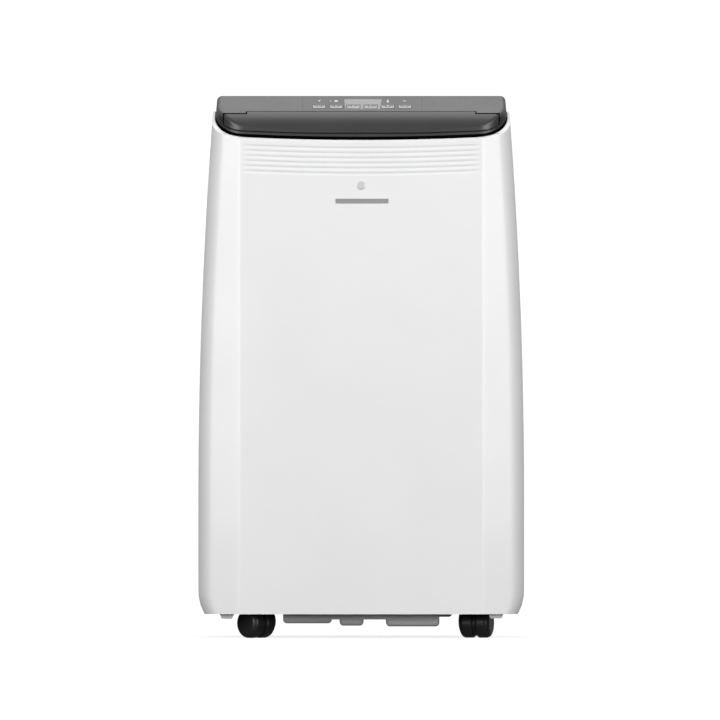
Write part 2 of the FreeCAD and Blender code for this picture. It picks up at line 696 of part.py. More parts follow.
# ---- air outlet ---------------------------------------------------------
VANE_CENTRE = V(0.0, -110.0, 640.0)
VANE_UP = V(0, math.cos(math.radians(32.0)), math.sin(math.radians(32.0)))
VANE_IN = V(0, math.sin(math.radians(32.0)), -math.cos(math.radians(32.0)))


def vane_x(index):
    return (index - (VANE_COUNT - 1) / 2) * VANE_PITCH


def vane_point(x, up, inward):
    return V(x, 0, 0) + VANE_CENTRE + VANE_UP * up + VANE_IN * inward


def vane_block(x0, x1, up0, up1, in0, in1):
    corners = [vane_point(x0, u, i) for u, i in ((up0, in0), (up1, in0), (up1, in1), (up0, in1))]
    face = Part.Face(Part.makePolygon(corners + [corners[0]]))
    return face.extrude(V(x1 - x0, 0, 0))


def outlet_duct():
    half = DUCT_HALF
    walls = prism_x(DUCT_OUTER, -half, half).cut(prism_x(DUCT_INNER, -half + WALL, half - WALL))
    ears = []
    arm = [hinge_point(2.2, 0), hinge_point(-2.2, 0), (-120.0, 655.0), (-108.0, 655.0)]
    ears.append(hinge_rod(half - WALL, half, 2.6))
    ears.append(prism_x(arm, half - WALL, half))
    carriers = []
    half_bar = CARRIER_SIZE / 2
    for up in (-CARRIER_OFFSET, CARRIER_OFFSET):
        carriers.append(vane_block(-half + 1, half - 1, up - 1.5, up + 1.5, -half_bar, half_bar))
    duct = joined([walls] + ears + carriers)
    holes = [hinge_rod(half - 5, half + 5, HINGE_PIN + RUNNING_FIT)]
    for index in range(VANE_COUNT):
        x = vane_x(index)
        holes.append(rod(vane_point(x, -24, 0), vane_point(x, 24, 0), VANE_PIN_RADIUS + RUNNING_FIT))
    return without(duct, holes)


def air_vane(index):
    x = vane_x(index)
    half = VANE_THICKNESS / 2
    up = VANE_HEIGHT / 2
    plate = vane_block(x - half, x + half, -up, up, -VANE_DEPTH / 2, VANE_DEPTH / 2)
    pin = rod(vane_point(x, -CARRIER_OFFSET - 1.5, 0), vane_point(x, CARRIER_OFFSET + 1.5, 0), VANE_PIN_RADIUS)
    link_pin = rod(vane_point(x, up - 2, LINK_ARM), vane_point(x, up + 5.5, LINK_ARM), LINK_PIN)
    return joined([plate, pin, link_pin])


def vane_link():
    """The bar that ties the vanes; its slots leave room for the pins' small arc."""
    up = VANE_HEIGHT / 2
    reach = vane_x(VANE_COUNT - 1) + 8.0
    bar = vane_block(-reach, reach, up + 2.2, up + 4.2, LINK_ARM - 4.5, LINK_ARM + 3.5)
    slots = []
    for index in range(VANE_COUNT):
        x = vane_x(index)
        side = LINK_PIN + 0.35
        slots.append(vane_block(x - side, x + side, up, up + 8, LINK_ARM - 3.2, LINK_ARM + 1.6))
    return without(bar, slots)


# ---- fans, coils and cooling circuit ------------------------------------


def blower_wheel(centre, radius):
    y0, y1 = WHEEL_Y
    back = rod(V(centre.x, y0, centre.z), V(centre.x, y0 + 2.5, centre.z), radius)
    ring = tube(V(centre.x, y1 - 5, centre.z), V(centre.x, y1, centre.z), radius, radius - 9)
    hub = rod(V(centre.x, y0, centre.z), V(centre.x, y0 + 24, centre.z), 11.0)
    blade = box(radius - 10, radius - 0.4, y0, y1, -0.9, 0.9)
    blade.rotate(V(radius - 5, 0, 0), V(0, 1, 0), 32)
    blades = []
    for index in range(BLADES):
        copy = blade.copy()
        copy.rotate(V(0, 0, 0), V(0, 1, 0), index * 360.0 / BLADES)
        copy.translate(V(centre.x, 0, centre.z))
        blades.append(copy)
    wheel = back.multiFuse([ring, hub] + blades)
    wheel = wheel.common(rod(V(centre.x, y0, centre.z), V(centre.x, y1, centre.z), radius))
    bore = rod(V(centre.x, y0 - 1, centre.z), V(centre.x, y0 + 20, centre.z), SHAFT_RADIUS + RUNNING_FIT)
    return wheel.cut(bore)


def fan_motor(centre):
    y0, y1 = MOTOR_Y
    can = rod(V(centre.x, y0, centre.z), V(centre.x, y1 - 6, centre.z), 44.0)
    plate = rod(V(centre.x, y1 - 6, centre.z), V(centre.x, y1, centre.z), 56.0)
    shaft = rod(V(centre.x, y0 - 4, centre.z), V(centre.x, WHEEL_Y[0] + 19, centre.z), SHAFT_RADIUS)
    return joined([can, plate, shaft])


def scroll(centre, radius, outlet_outer, outlet_inner):
    """A flat spiral fan housing with a hole for the motor shaft and an inlet facing the coil."""
    y0, y1 = SCROLL_Y
    offset = 9.0
    drum = rod(V(centre.x + offset, y0, centre.z), V(centre.x + offset, y1, centre.z), radius + DRUM_ROOM)
    room = rod(V(centre.x + offset, y0 + WALL, centre.z), V(centre.x + offset, y1 - WALL, centre.z),
               radius + DRUM_ROOM - WALL)
    housing = drum.fuse(outlet_outer)
    shaft_hole = rod(V(centre.x, y0 - 5, centre.z), V(centre.x, y0 + 5, centre.z), 12.0)
    inlet = rod(V(centre.x, y1 - 5, centre.z), V(centre.x, y1 + 5, centre.z), radius - 12)
    return without(housing, [room.fuse(outlet_inner), shaft_hole, inlet])


def upper_scroll():
    y0 = SCROLL_Y[0]
    top = 597.7
    outer = box(UPPER_WHEEL.x - 60, UPPER_WHEEL.x + 120, y0, 62, UPPER_WHEEL.z, top)
    inner = box(UPPER_WHEEL.x - 58, UPPER_WHEEL.x + 118, y0 + WALL, 60, UPPER_WHEEL.z, top + 1)
    return scroll(UPPER_WHEEL, UPPER_WHEEL_RADIUS, outer, inner)


def lower_scroll():
    y0, y1 = SCROLL_Y
    low = EXHAUST.z - EXHAUST_BORE - 5
    high = EXHAUST.z + EXHAUST_BORE + 5
    right = EXHAUST.x + EXHAUST_BORE + 5
    run = box(LOWER_WHEEL.x, right, y0, y1, low, high)
    run_room = box(LOWER_WHEEL.x, right - WALL, y0 + WALL, y1 - WALL, low + WALL, high - WALL)
    left = EXHAUST.x - EXHAUST_BORE - 5
    plenum = box(left, right, y0, 119.7, low, high)
    plenum_room = box(left + WALL, right - WALL, y0 + WALL, 125, low + WALL, high - WALL)
    return scroll(LOWER_WHEEL, LOWER_WHEEL_RADIUS, run.fuse(plenum), run_room.fuse(plenum_room))


def coil(span):
    """A fin block with return bends on both ends, in two rows."""
    x0, x1, z0, z1 = span
    bends = [box(x0, x1, COIL_Y[0], COIL_Y[1], z0, z1)]
    pitch = 4 * BEND_RADIUS
    count = int((z1 - z0 - 30) / pitch)
    for row in (COIL_Y[0] + 8, COIL_Y[1] - 8):
        for index in range(count):
            for x, is_right, shift in ((x1, True, 0.0), (x0, False, pitch / 2)):
                z = z0 + 15 + BEND_RADIUS + index * pitch + shift
                half_space = box(x, FAR, 0, FAR, 0, HEIGHT) if is_right else box(-FAR, x, 0, FAR, 0, HEIGHT)
                full = Part.makeTorus(BEND_RADIUS, TUBE_RADIUS, V(x, row, z), V(0, 1, 0))
                bends.append(full.common(half_space))
    return Part.makeCompound(bends)


def drip_tray():
    x0, x1, y0, y1, z0, z1 = TRAY
    tray = box(x0, x1, y0, y1, z0, z1).cut(box(x0 + WALL, x1 - WALL, y0 + WALL, y1 - WALL, z0 + WALL, z1 + 5))
    return tray


def compressor():
    low, high = COMPRESSOR_Z
    x, y = COMPRESSOR.x, COMPRESSOR.y
    can = rod(V(x, y, low), V(x, y, high), COMPRESSOR_RADIUS)
    rims = [e for e in can.Edges if e.Curve.TypeId == "Part::GeomCircle"]
    can = can.makeFillet(18.0, rims)
    bottle = rod(V(x - 66, y + 26, 110), V(x - 66, y + 26, 230), 17.0)
    bottle = bottle.makeFillet(10.0, [e for e in bottle.Edges if e.Curve.TypeId == "Part::GeomCircle"])
    strap = box(x - 66, x, y + 6, y + 22, 160, 172)
    stub = rod(V(x, y, high - 2), V(x, y, high + 12), 6.0)
    feet = []
    for angle in (30, 150, 270):
        foot = box(0, 66, -13, 13, COMPRESSOR_FOOT_Z, COMPRESSOR_FOOT_Z + 4)
        foot.rotate(V(0, 0, 0), V(0, 0, 1), angle)
        foot.translate(V(x, y, 0))
        hole_x = x + 58 * math.cos(math.radians(angle))
        hole_y = y + 58 * math.sin(math.radians(angle))
        feet.append(foot.cut(rod(V(hole_x, hole_y, PLATE_Z), V(hole_x, hole_y, 80), 5.0)))
    return joined([can, bottle, strap, stub] + feet)


def compressor_grommets():
    grommets = []
    for angle in (30, 150, 270):
        x = COMPRESSOR.x + 58 * math.cos(math.radians(angle))
        y = COMPRESSOR.y + 58 * math.sin(math.radians(angle))
        grommets.append(tube(V(x, y, PLATE_Z + PLATE_THICKNESS), V(x, y, COMPRESSOR_FOOT_Z), 9.0, 3.0))
    return Part.makeCompound(grommets)


def pipe(points, radius):
    """Straight copper runs with round elbows."""
    pieces = []
    for start, end in zip(points, points[1:]):
        pieces.append(rod(V(*start), V(*end), radius))
    for corner in points[1:-1]:
        pieces.append(Part.makeSphere(radius, V(*corner)))
    return joined(pieces)


def discharge_pipe():
    x, y = COMPRESSOR.x, COMPRESSOR.y
    coil_x = LOWER_COIL[1] - 8
    low = LOWER_COIL[3]
    corners = [(x, y, 302), (x, y, 345), (x + 50, y, 345), (x + 50, 98, 345), (coil_x, 98, 345), (coil_x, 98, low)]
    return pipe(corners, 4.0)


def suction_pipe():
    x = COMPRESSOR.x - 66
    y = COMPRESSOR.y + 26
    coil_x = -185.0
    corners = [(x, y, 230), (x, y, 360), (coil_x, y, 360), (coil_x, 112, 360), (coil_x, 112, 396)]
    return pipe(corners, 4.5)


def electrical_box():
    x0, x1, y0, y1, z0, z1 = 62.0, 172.0, -138.0, -66.0, 392.0, 560.0
    case = box(x0, x1, y0, y1, z0, z1)
    room = box(x0 + WALL, x1 - WALL, y0 + WALL, y1 - WALL, z0 + WALL, z1 - WALL)
    board = box(x0 + 8, x1 - 8, y0 + WALL, y0 + WALL + 1.6, z0 + 8, z1 - 8)
    capacitor = rod(V(x0 + 24, y0 + WALL, z0 + 40), V(x0 + 24, y1 - 14, z0 + 40), 16.0)
    return joined([case.cut(room), board, capacitor])


# ---- base ---------------------------------------------------------------


def base_pan():
    plate_top = PLATE_Z + PLATE_THICKNESS
    room = outer_body(DECK_INSET + 0.2)
    plate = room.common(box(-FAR, FAR, -FAR, FAR, PLATE_Z, plate_top))
    parts = [plate, box(-TRAY_X, TRAY_X, -TRAY_Y, TRAY_Y, TRAY_FLOOR, PLATE_Z)]
    for x0, x1, y0, y1, z in BLOCKS:
        block = box(x0, x1, y0, y1, z, PLATE_Z)
        low = [e for e in block.Edges if abs(e.CenterOfMass.z - z) < 0.1 or e.BoundBox.ZLength > 5]
        parts.append(block.makeFillet(BLOCK_EDGE, low))
    layer = front_sweep(DECK_INSET + 0.2).cut(front_sweep(DECK_INSET + 2.7))
    for x0, x1, z in SKIRTS:
        run = PLATE_Z - z
        points = [(x0 + 7, z), (x1 - 7, z), (x1 + 0.2 * run, PLATE_Z + 1), (x0 - 0.2 * run, PLATE_Z + 1)]
        wedge = prism_y(points, -FAR, -60)
        parts.append(layer.common(wedge).common(room.fuse(box(-190, 190, -FAR, -60, 0, 40))))
        parts.append(prism_y(points, 154.0, 156.5).common(box(-195, 195, 150, 160, 0, PLATE_Z + 1)))
    for x, y in caster_places():
        parts.append(rod(V(x, y, plate_top), V(x, y, 65), 8.0))
    parts.append(rod(V(DRAIN.x, 140, DRAIN.z), V(DRAIN.x, REAR_Y + 4, DRAIN.z), DRAIN_BORE + 3.0))
    pan = joined(parts)
    sump = box(-TRAY_X + 3, TRAY_X - 3, -TRAY_Y + 3, TRAY_Y - 3, TRAY_FLOOR + 3, plate_top + 1)
    sockets = [rod(V(x, y, 40), V(x, y, 64), STEM_RADIUS + RUNNING_FIT) for x, y in caster_places()]
    drain = rod(V(DRAIN.x, 130, DRAIN.z), V(DRAIN.x, 200, DRAIN.z), DRAIN_BORE)
    return without(pan, [sump, drain] + sockets)


def drain_plug():
    y = REAR_Y + 4.2
    head = rod(V(DRAIN.x, y, DRAIN.z), V(DRAIN.x, REAR_MOST_Y, DRAIN.z), DRAIN_BORE + 3.0)
    body = rod(V(DRAIN.x, y - 14, DRAIN.z), V(DRAIN.x, y, DRAIN.z), DRAIN_BORE - RUNNING_FIT)
    return head.fuse(body)


def caster_places():
    return [(x, y) for y in (-CASTER_Y, CASTER_Y) for x in (-CASTER_X, CASTER_X)]


def place_caster(shape, side, end):
    """Turn a caster part to its parked direction and set it under its corner."""
    sign_x = -1 if side == "left" else 1
    sign_y = -1 if end == "front" else 1
    moved = shape.copy()
    moved.rotate(V(0, 0, 0), V(0, 0, 1), CASTER_TURNS[side])
    moved.translate(V(sign_x * CASTER_X, sign_y * CASTER_Y, 0))
    return moved


def caster_fork():
    """Web between the wheels, hood over them, axle and stem."""
    z = WHEEL_RADIUS
    y = -CASTER_TRAIL
    web = rod(V(-1.5, y, z), V(1.5, y, z), 16.5)
    hood_outer = rod(V(-17, y, z), V(17, y, z), WHEEL_RADIUS + 4.2)
    hood_room = rod(V(-30, y, z), V(30, y, z), WHEEL_RADIUS + 1.2)
    hood = hood_outer.cut(hood_room).common(box(-30, 30, y - 17, 60, z + 12, 60))
    bridge = box(-1.5, 1.5, y - 12, y + 12, z + 10, z + 22)
    collar = rod(V(0, 0, 34.0), V(0, 0, PLATE_Z - 0.4), 9.0).cut(hood_room)
    stem = rod(V(0, 0, 44), V(0, 0, 63.4), STEM_RADIUS)
    axle = rod(V(-14, y, z), V(14, y, z), AXLE_RADIUS)
    return joined([web, hood, bridge, collar, stem, axle])


def caster_wheel(sign):
    inner = 2.0
    profile_start = V(sign * inner, -CASTER_TRAIL, WHEEL_RADIUS)
    profile_end = V(sign * WHEEL_HALF_SPAN, -CASTER_TRAIL, WHEEL_RADIUS)
    wheel = rod(profile_start, profile_end, WHEEL_RADIUS)
    outer_rim = [e for e in wheel.Edges if e.Curve.TypeId == "Part::GeomCircle"
                 and abs(abs(e.CenterOfMass.x) - WHEEL_HALF_SPAN) < 0.1]
    wheel = wheel.makeFillet(7.0, outer_rim)
    inner_rim = [e for e in wheel.Edges if e.Curve.TypeId == "Part::GeomCircle"
                 and abs(abs(e.CenterOfMass.x) - inner) < 0.1]
    wheel = wheel.makeFillet(3.0, inner_rim)
    bore_end = V(sign * 14.5, -CASTER_TRAIL, WHEEL_RADIUS)
    return wheel.cut(rod(V(0, -CASTER_TRAIL, WHEEL_RADIUS), bore_end, AXLE_RADIUS + RUNNING_FIT))


# ---- all nodes ----------------------------------------------------------
def all_parts():
    whole_shell = shell()
    skin = deck_skin()
    nodes = {
        "base_pan": base_pan(),
        "front_cover": front_cover(whole_shell),
        "rear_cover": rear_cover(whole_shell),
        "top_deck": top_deck(skin),
        "control_fascia": control_fascia(skin),
        "display_lens": display_lens(skin),
        "control_board": control_board(),
        "outlet_duct": outlet_duct(),
        "outlet_flap": outlet_flap(skin),
        "flap_motor": flap_motor(),
        "vane_link": vane_link(),
        "upper_fan_wheel": blower_wheel(UPPER_WHEEL, UPPER_WHEEL_RADIUS),
        "lower_fan_wheel": blower_wheel(LOWER_WHEEL, LOWER_WHEEL_RADIUS),
        "upper_fan_motor": fan_motor(UPPER_WHEEL),
        "lower_fan_motor": fan_motor(LOWER_WHEEL),
        "upper_scroll": upper_scroll(),
        "lower_scroll": lower_scroll(),
        "evaporator_coil": coil(UPPER_COIL),
        "condenser_coil": coil(LOWER_COIL),
        "drip_tray": drip_tray(),
        "compressor": compressor(),
        "compressor_grommets": compressor_grommets(),
        "discharge_pipe": discharge_pipe(),
        "suction_pipe": suction_pipe(),
        "electrical_box": electrical_box(),
        "upper_intake_grille": intake_grille(UPPER_WINDOW_X, UPPER_WINDOW_Z),
        "lower_intake_grille": intake_grille(LOWER_WINDOW_X, LOWER_WINDOW_Z),
        "upper_filter": intake_filter(UPPER_RAIL_X[0] + 2.0, 1, UPPER_FILTER_Z),
        "lower_filter": intake_filter(LOWER_RAIL_X[1] - 2.0, -1, LOWER_FILTER_Z),
        "exhaust_collar": exhaust_collar(),
        "side_grips": side_grips(),
        "cord_gland": cord_gland(),
        "cord_hooks": cord_hooks(),
        "cover_screws": cover_screws(),
        "drain_plug": drain_plug(),
        "sensor_window": ir_window(whole_shell),
        "badge_bar": badge_bar(),
    }
    for index in range(KEY_COUNT):
        nodes["key_%d" % (index + 1)] = key(index)
    for index in range(VANE_COUNT):
        nodes["air_vane_%d" % (index + 1)] = air_vane(index)
    for end in ("front", "rear"):
        for side in ("left", "right"):
            name = "caster_%s_%s" % (end, side)
            nodes[name] = place_caster(caster_fork(), side, end)
            wheels = [place_caster(caster_wheel(sign), side, end) for sign in (-1, 1)]
            nodes[name + "_wheel_a"] = wheels[0]
            nodes[name + "_wheel_b"] = wheels[1]
    return nodes


for node_name, node_shape in all_parts().items():
    save(node_name, node_shape)
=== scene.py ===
import json
import math
import bpy
import bmesh
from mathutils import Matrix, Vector


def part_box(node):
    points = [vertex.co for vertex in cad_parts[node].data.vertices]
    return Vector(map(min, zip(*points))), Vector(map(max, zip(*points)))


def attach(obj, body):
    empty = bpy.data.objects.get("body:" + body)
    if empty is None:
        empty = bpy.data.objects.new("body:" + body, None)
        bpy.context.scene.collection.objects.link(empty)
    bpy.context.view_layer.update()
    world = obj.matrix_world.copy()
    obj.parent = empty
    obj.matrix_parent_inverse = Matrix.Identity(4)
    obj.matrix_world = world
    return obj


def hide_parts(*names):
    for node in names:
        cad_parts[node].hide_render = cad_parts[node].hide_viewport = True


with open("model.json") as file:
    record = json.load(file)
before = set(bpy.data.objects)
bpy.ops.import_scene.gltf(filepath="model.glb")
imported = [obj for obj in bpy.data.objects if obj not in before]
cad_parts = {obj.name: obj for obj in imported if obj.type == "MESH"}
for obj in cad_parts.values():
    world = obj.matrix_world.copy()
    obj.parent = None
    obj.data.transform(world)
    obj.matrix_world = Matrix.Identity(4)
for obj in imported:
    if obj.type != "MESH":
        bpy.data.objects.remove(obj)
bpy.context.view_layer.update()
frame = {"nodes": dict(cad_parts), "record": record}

MM = 0.001

# ---- sizes of the cabinet, in metres, as the frame holds them ------------
COVER_LOW, COVER_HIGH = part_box("front_cover")
HALF_WIDTH = COVER_HIGH.x
FRONT_Y = COVER_LOW.y
SKIRT_Z = COVER_LOW.z
SPLIT_Y = COVER_HIGH.y
RIM_TOP_Z = COVER_HIGH.z
SIDE_STRAIGHT_TOP = 0.180
SIDE_RADIUS = 6.700
LEAN_START_Z = 0.100
LEAN_RADIUS = 11.0
SKIRT_ARC_Z = 0.0602
SKIRT_RADIUS = 0.057
CREASE_X = 0.157
CREASE_SOFTNESS = 0.003
CREASE_EASE = 0.09
FRONT_BULGE = 0.006
STRIP_SLOPE = 0.42
CORNER_RADIUS = 0.028
SOFT_X = 0.140
SOFT_SLOPE = 0.068
SOFT_CORNER_RADIUS = 0.044
RIM_LEDGE = 0.006
COVER_WALL = 0.0036
RIM_Z = 0.6438
RIM_SLOPE = 0.64
RIB_COUNT = 6
RIB_PITCH = 0.00635
RIB_FIRST = 0.0088
RIB_DEPTH = 0.0011
RIB_SHARPNESS = 1.3
RIB_FADE = (0.143, 0.156)
RIB_ZONE = 0.050
EDGE_ROUND = 0.0014
INNER_EDGE = 0.0008


# ---- the cabinet's form ---------------------------------------------------
def half_width_at(z, inset):
    """Half the cabinet's width: tucked in at the skirt, straight, then a wide arc inwards."""
    if z < SKIRT_ARC_Z:
        drop = SKIRT_ARC_Z - z
        return HALF_WIDTH - SKIRT_RADIUS + math.sqrt((SKIRT_RADIUS - inset) ** 2 - drop ** 2)
    rise = max(0.0, z - SIDE_STRAIGHT_TOP)
    return HALF_WIDTH - SIDE_RADIUS + math.sqrt((SIDE_RADIUS - inset) ** 2 - rise ** 2)


def front_at(z):
    """The front's middle leans back along a wide arc above LEAN_START_Z."""
    return FRONT_Y + max(0.0, z - LEAN_START_Z) ** 2 / (2 * LEAN_RADIUS)


def rim_height(y):
    """The cover's rim climbs towards the back until it is level."""
    rim_front = front_at(RIM_Z) + COVER_WALL
    return min(RIM_TOP_Z, RIM_Z + (y - rim_front) * RIM_SLOPE)


def smooth(value):
    value = max(0.0, min(1.0, value))
    return value * value * (3 - 2 * value)


# ---- materials -----------------------------------------------------------
def new_material(name):
    material = bpy.data.materials.new(name)
    material.use_nodes = True
    return material, material.node_tree.nodes, material.node_tree.links


def texture(nodes, links, kind, scale):
    """A procedural texture that sits fixed in the object's own space."""
    coordinates = nodes.new("ShaderNodeTexCoord")
    node = nodes.new(kind)
    node.inputs["Scale"].default_value = scale
    links.new(coordinates.outputs["Object"], node.inputs["Vector"])
    return node


def noise(nodes, links, scale, detail):
    node = texture(nodes, links, "ShaderNodeTexNoise", scale)
    node.inputs["Detail"].default_value = detail
    return node.outputs["Fac"]


def add_bump(nodes, links, height, strength, distance):
    """Let a texture raise and sink the surface."""
    bump = nodes.new("ShaderNodeBump")
    bump.inputs["Strength"].default_value = strength
    bump.inputs["Distance"].default_value = distance
    links.new(height, bump.inputs["Height"])
    links.new(bump.outputs["Normal"], nodes["Principled BSDF"].inputs["Normal"])


def fade_between(nodes, links, value, span, low=0.0, high=1.0):
    """A value that runs from low to high while the given one crosses the span."""
    node = nodes.new("ShaderNodeMapRange")
    node.inputs["From Min"].default_value = span[0]
    node.inputs["From Max"].default_value = span[1]
    node.inputs["To Min"].default_value = low
    node.inputs["To Max"].default_value = high
    links.new(value, node.inputs["Value"])
    return node.outputs["Result"]


def ramp(nodes, links, source, low, high, start=0.35, stop=0.65):
    """Turn a 0..1 value into one between two colours or greys."""
    node = nodes.new("ShaderNodeValToRGB")
    node.color_ramp.elements[0].position = start
    node.color_ramp.elements[1].position = stop
    node.color_ramp.elements[0].color = (*low, 1.0)
    node.color_ramp.elements[1].color = (*high, 1.0)
    links.new(source, node.inputs["Fac"])
    return node.outputs["Color"]


def math_node(nodes, links, operation, *values):
    """A maths node fed with numbers or with other nodes' outputs."""
    node = nodes.new("ShaderNodeMath")
    node.operation = operation
    for socket, value in zip(node.inputs, values):
        if isinstance(value, (int, float)):
            socket.default_value = value
        else:
            links.new(value, socket)
    return node.outputs["Value"]


def grey(value):
    return (value, value, value)


def shade(colour, factor):
    return tuple(min(1.0, channel * factor) for channel in colour)


DRIFT_SCALE = 9.0
SMUDGE_SCALE = 26.0
GLOSS_CHANGE = 0.04
COAT_ROUGHNESS = 0.08


def moulded(name, colour, roughness, grain_scale=900.0, grain=0.05, variation=0.04, coat=0.0, metallic=0.0):
    """Moulded plastic or metal: fine grain, slow colour drift and slightly uneven gloss."""
    material, nodes, links = new_material(name)
    shader = nodes["Principled BSDF"]
    drift = noise(nodes, links, DRIFT_SCALE, 5.0)
    darker = shade(colour, 1 - variation)
    lighter = shade(colour, 1 + variation)
    colours = ramp(nodes, links, drift, darker, lighter)
    links.new(colours, shader.inputs["Base Color"])
    smudges = noise(nodes, links, SMUDGE_SCALE, 6.0)
    smoother = grey(roughness * (1 - GLOSS_CHANGE))
    rougher = grey(min(1.0, roughness * (1 + GLOSS_CHANGE)))
    gloss = ramp(nodes, links, smudges, smoother, rougher)
    links.new(gloss, shader.inputs["Roughness"])
    add_bump(nodes, links, noise(nodes, links, grain_scale, 2.0), grain, 0.3 * MM)
    shader.inputs["Coat Weight"].default_value = coat
    shader.inputs["Coat Roughness"].default_value = COAT_ROUGHNESS
    shader.inputs["Metallic"].default_value = metallic
    return material


def bare_metal(name, colour, roughness):
    """Plated metal with a coarser grain than plastic."""
    return moulded(name, colour, roughness, grain_scale=400.0, grain=0.12, metallic=1.0)


def circuit_board():
    """Green board with a web of darker lines."""
    material, nodes, links = new_material("circuit_board")
    shader = nodes["Principled BSDF"]
    tracks = texture(nodes, links, "ShaderNodeTexVoronoi", 260.0)
    tracks.feature = "DISTANCE_TO_EDGE"
    dark_green = (0.02, 0.10, 0.04)
    green = (0.03, 0.22, 0.08)
    colours = ramp(nodes, links, tracks.outputs["Distance"], dark_green, green, 0.02, 0.06)
    links.new(colours, shader.inputs["Base Color"])
    shader.inputs["Roughness"].default_value = 0.4
    return material


def fin_stock():
    """Closely stacked fins: fine vertical lines across the block."""
    material, nodes, links = new_material("coil_fins")
    shader = nodes["Principled BSDF"]
    fins = texture(nodes, links, "ShaderNodeTexWave", 150.0)
    fins.bands_direction = "X"
    fins.inputs["Distortion"].default_value = 0.4
    colours = ramp(nodes, links, fins.outputs["Fac"], grey(0.25), grey(0.8), 0.2, 0.7)
    links.new(colours, shader.inputs["Base Color"])
    add_bump(nodes, links, fins.outputs["Fac"], 0.6, 0.8 * MM)
    shader.inputs["Metallic"].default_value = 0.9
    shader.inputs["Roughness"].default_value = 0.35
    return material


def net():
    """Filter plastic with a fine square weave."""
    material, nodes, links = new_material("filter_plastic")
    shader = nodes["Principled BSDF"]
    threads = []
    for direction in ("X", "Z"):
        wave = texture(nodes, links, "ShaderNodeTexWave", 200.0)
        wave.bands_direction = direction
        threads.append(wave.outputs["Fac"])
    weave = math_node(nodes, links, "MAXIMUM", *threads)
    colours = ramp(nodes, links, weave, (0.10, 0.11, 0.12), (0.40, 0.42, 0.45), 0.55, 0.9)
    links.new(colours, shader.inputs["Base Color"])
    add_bump(nodes, links, weave, 0.5, 0.4 * MM)
    shader.inputs["Roughness"].default_value = 0.6
    return material


LIP_FADE = (0.672, 0.680)
LIP_DARKNESS = 0.33
# Height above the rim over which the groove's painted shadow fades out.
GROOVE_SHADOW_FADE = (0.0032, 0.0036)


def deck_plastic(name, colour):
    """Deck plastic: near-black painted shadow in the groove above the rim, dark on the lip, mid grey above.
    """
    material = moulded(name, colour, 0.42, 1600.0, 0.10, 0.03)
    nodes = material.node_tree.nodes
    links = material.node_tree.links
    shader = nodes["Principled BSDF"]
    upper = shader.inputs["Base Color"].links[0].from_socket
    coordinates = nodes.new("ShaderNodeTexCoord")
    split = nodes.new("ShaderNodeSeparateXYZ")
    links.new(coordinates.outputs["Object"], split.inputs["Vector"])
    rim_start = RIM_Z - RIM_SLOPE * (front_at(RIM_Z) + COVER_WALL)
    slanted = math_node(nodes, links, "MULTIPLY_ADD", split.outputs["Y"], RIM_SLOPE, rim_start)
    rim = math_node(nodes, links, "MINIMUM", slanted, RIM_TOP_Z)
    rise = math_node(nodes, links, "SUBTRACT", split.outputs["Z"], rim)
    result = upper
    # The second layer paints near-black shadow into the groove above the rim.
    layers = ((split.outputs["Z"], LIP_FADE, shade(colour, LIP_DARKNESS)),
              (rise, GROOVE_SHADOW_FADE, grey(0.002)))
    for value, span, dark in layers:
        above = fade_between(nodes, links, value, span)
        mix = nodes.new("ShaderNodeMix")
        mix.data_type = "RGBA"
        mix.inputs["A"].default_value = (*dark, 1.0)
        links.new(above, mix.inputs["Factor"])
        links.new(result, mix.inputs["B"])
        result = mix.outputs["Result"]
    # The groove's painted shadow also takes away its specular shine.
    shine_outside_shadow = math_node(nodes, links, "MULTIPLY", above, 0.5)
    links.new(shine_outside_shadow, shader.inputs["Specular IOR Level"])
    links.new(result, shader.inputs["Base Color"])
    return material


WHITE = (0.80, 0.80, 0.80)
DECK = (0.092, 0.092, 0.094)
MATERIALS = {
    "white_shell": moulded("white_shell", WHITE, 0.36, 1400.0, 0.03, 0.012, coat=0.15),
    "white_grille": moulded("white_grille", shade(WHITE, 0.97), 0.45, 1400.0, 0.04, 0.015),
    "deck_grey": deck_plastic("deck_grey", DECK),
    "gloss_dark": moulded("gloss_dark", (0.037, 0.037, 0.0385), 0.34, 1200.0, 0.02, 0.04),
    "smoked_lens": moulded("smoked_lens", (0.165, 0.165, 0.17), 0.16, 700.0, 0.01, 0.03, coat=0.3),
    "sensor_lens": moulded("sensor_lens", (0.60, 0.60, 0.61), 0.14, 700.0, 0.01, 0.03, coat=0.4),
    "white_print": moulded("white_print", (0.62, 0.62, 0.62), 0.5, 2000.0, 0.04, 0.05),
    "key_grey": moulded("key_grey", shade(DECK, 1.04), 0.40, 1600.0, 0.10, 0.03),
    "badge_grey": moulded("badge_grey", (0.30, 0.30, 0.31), 0.25, 900.0, 0.03, 0.03),
    "grey_plastic": moulded("grey_plastic", (0.44, 0.44, 0.445), 0.55, 700.0, 0.16, 0.06),
    "black_plastic": moulded("black_plastic", (0.03, 0.03, 0.03), 0.5, 800.0, 0.12, 0.10),
    "caster_black": moulded("caster_black", (0.014, 0.014, 0.015), 0.42, 700.0, 0.14, 0.12),
    "wheel_black": moulded("wheel_black", (0.016, 0.016, 0.016), 0.38, 500.0, 0.20, 0.16),
    "filter_plastic": net(),
    "foam_white": moulded("foam_white", (0.74, 0.74, 0.73), 0.85, 300.0, 0.35, 0.03),
    "coil_fins": fin_stock(),
    "zinc_steel": bare_metal("zinc_steel", (0.58, 0.58, 0.57), 0.35),
    "screw_steel": bare_metal("screw_steel", (0.60, 0.60, 0.60), 0.28),
    "black_paint": moulded("black_paint", (0.018, 0.018, 0.018), 0.3, 500.0, 0.10, 0.10, coat=0.3),
    "copper": bare_metal("copper", (0.72, 0.34, 0.20), 0.3),
    "black_rubber": moulded("black_rubber", (0.025, 0.025, 0.025), 0.7, 600.0, 0.22, 0.10),
    "circuit_board": circuit_board(),
}


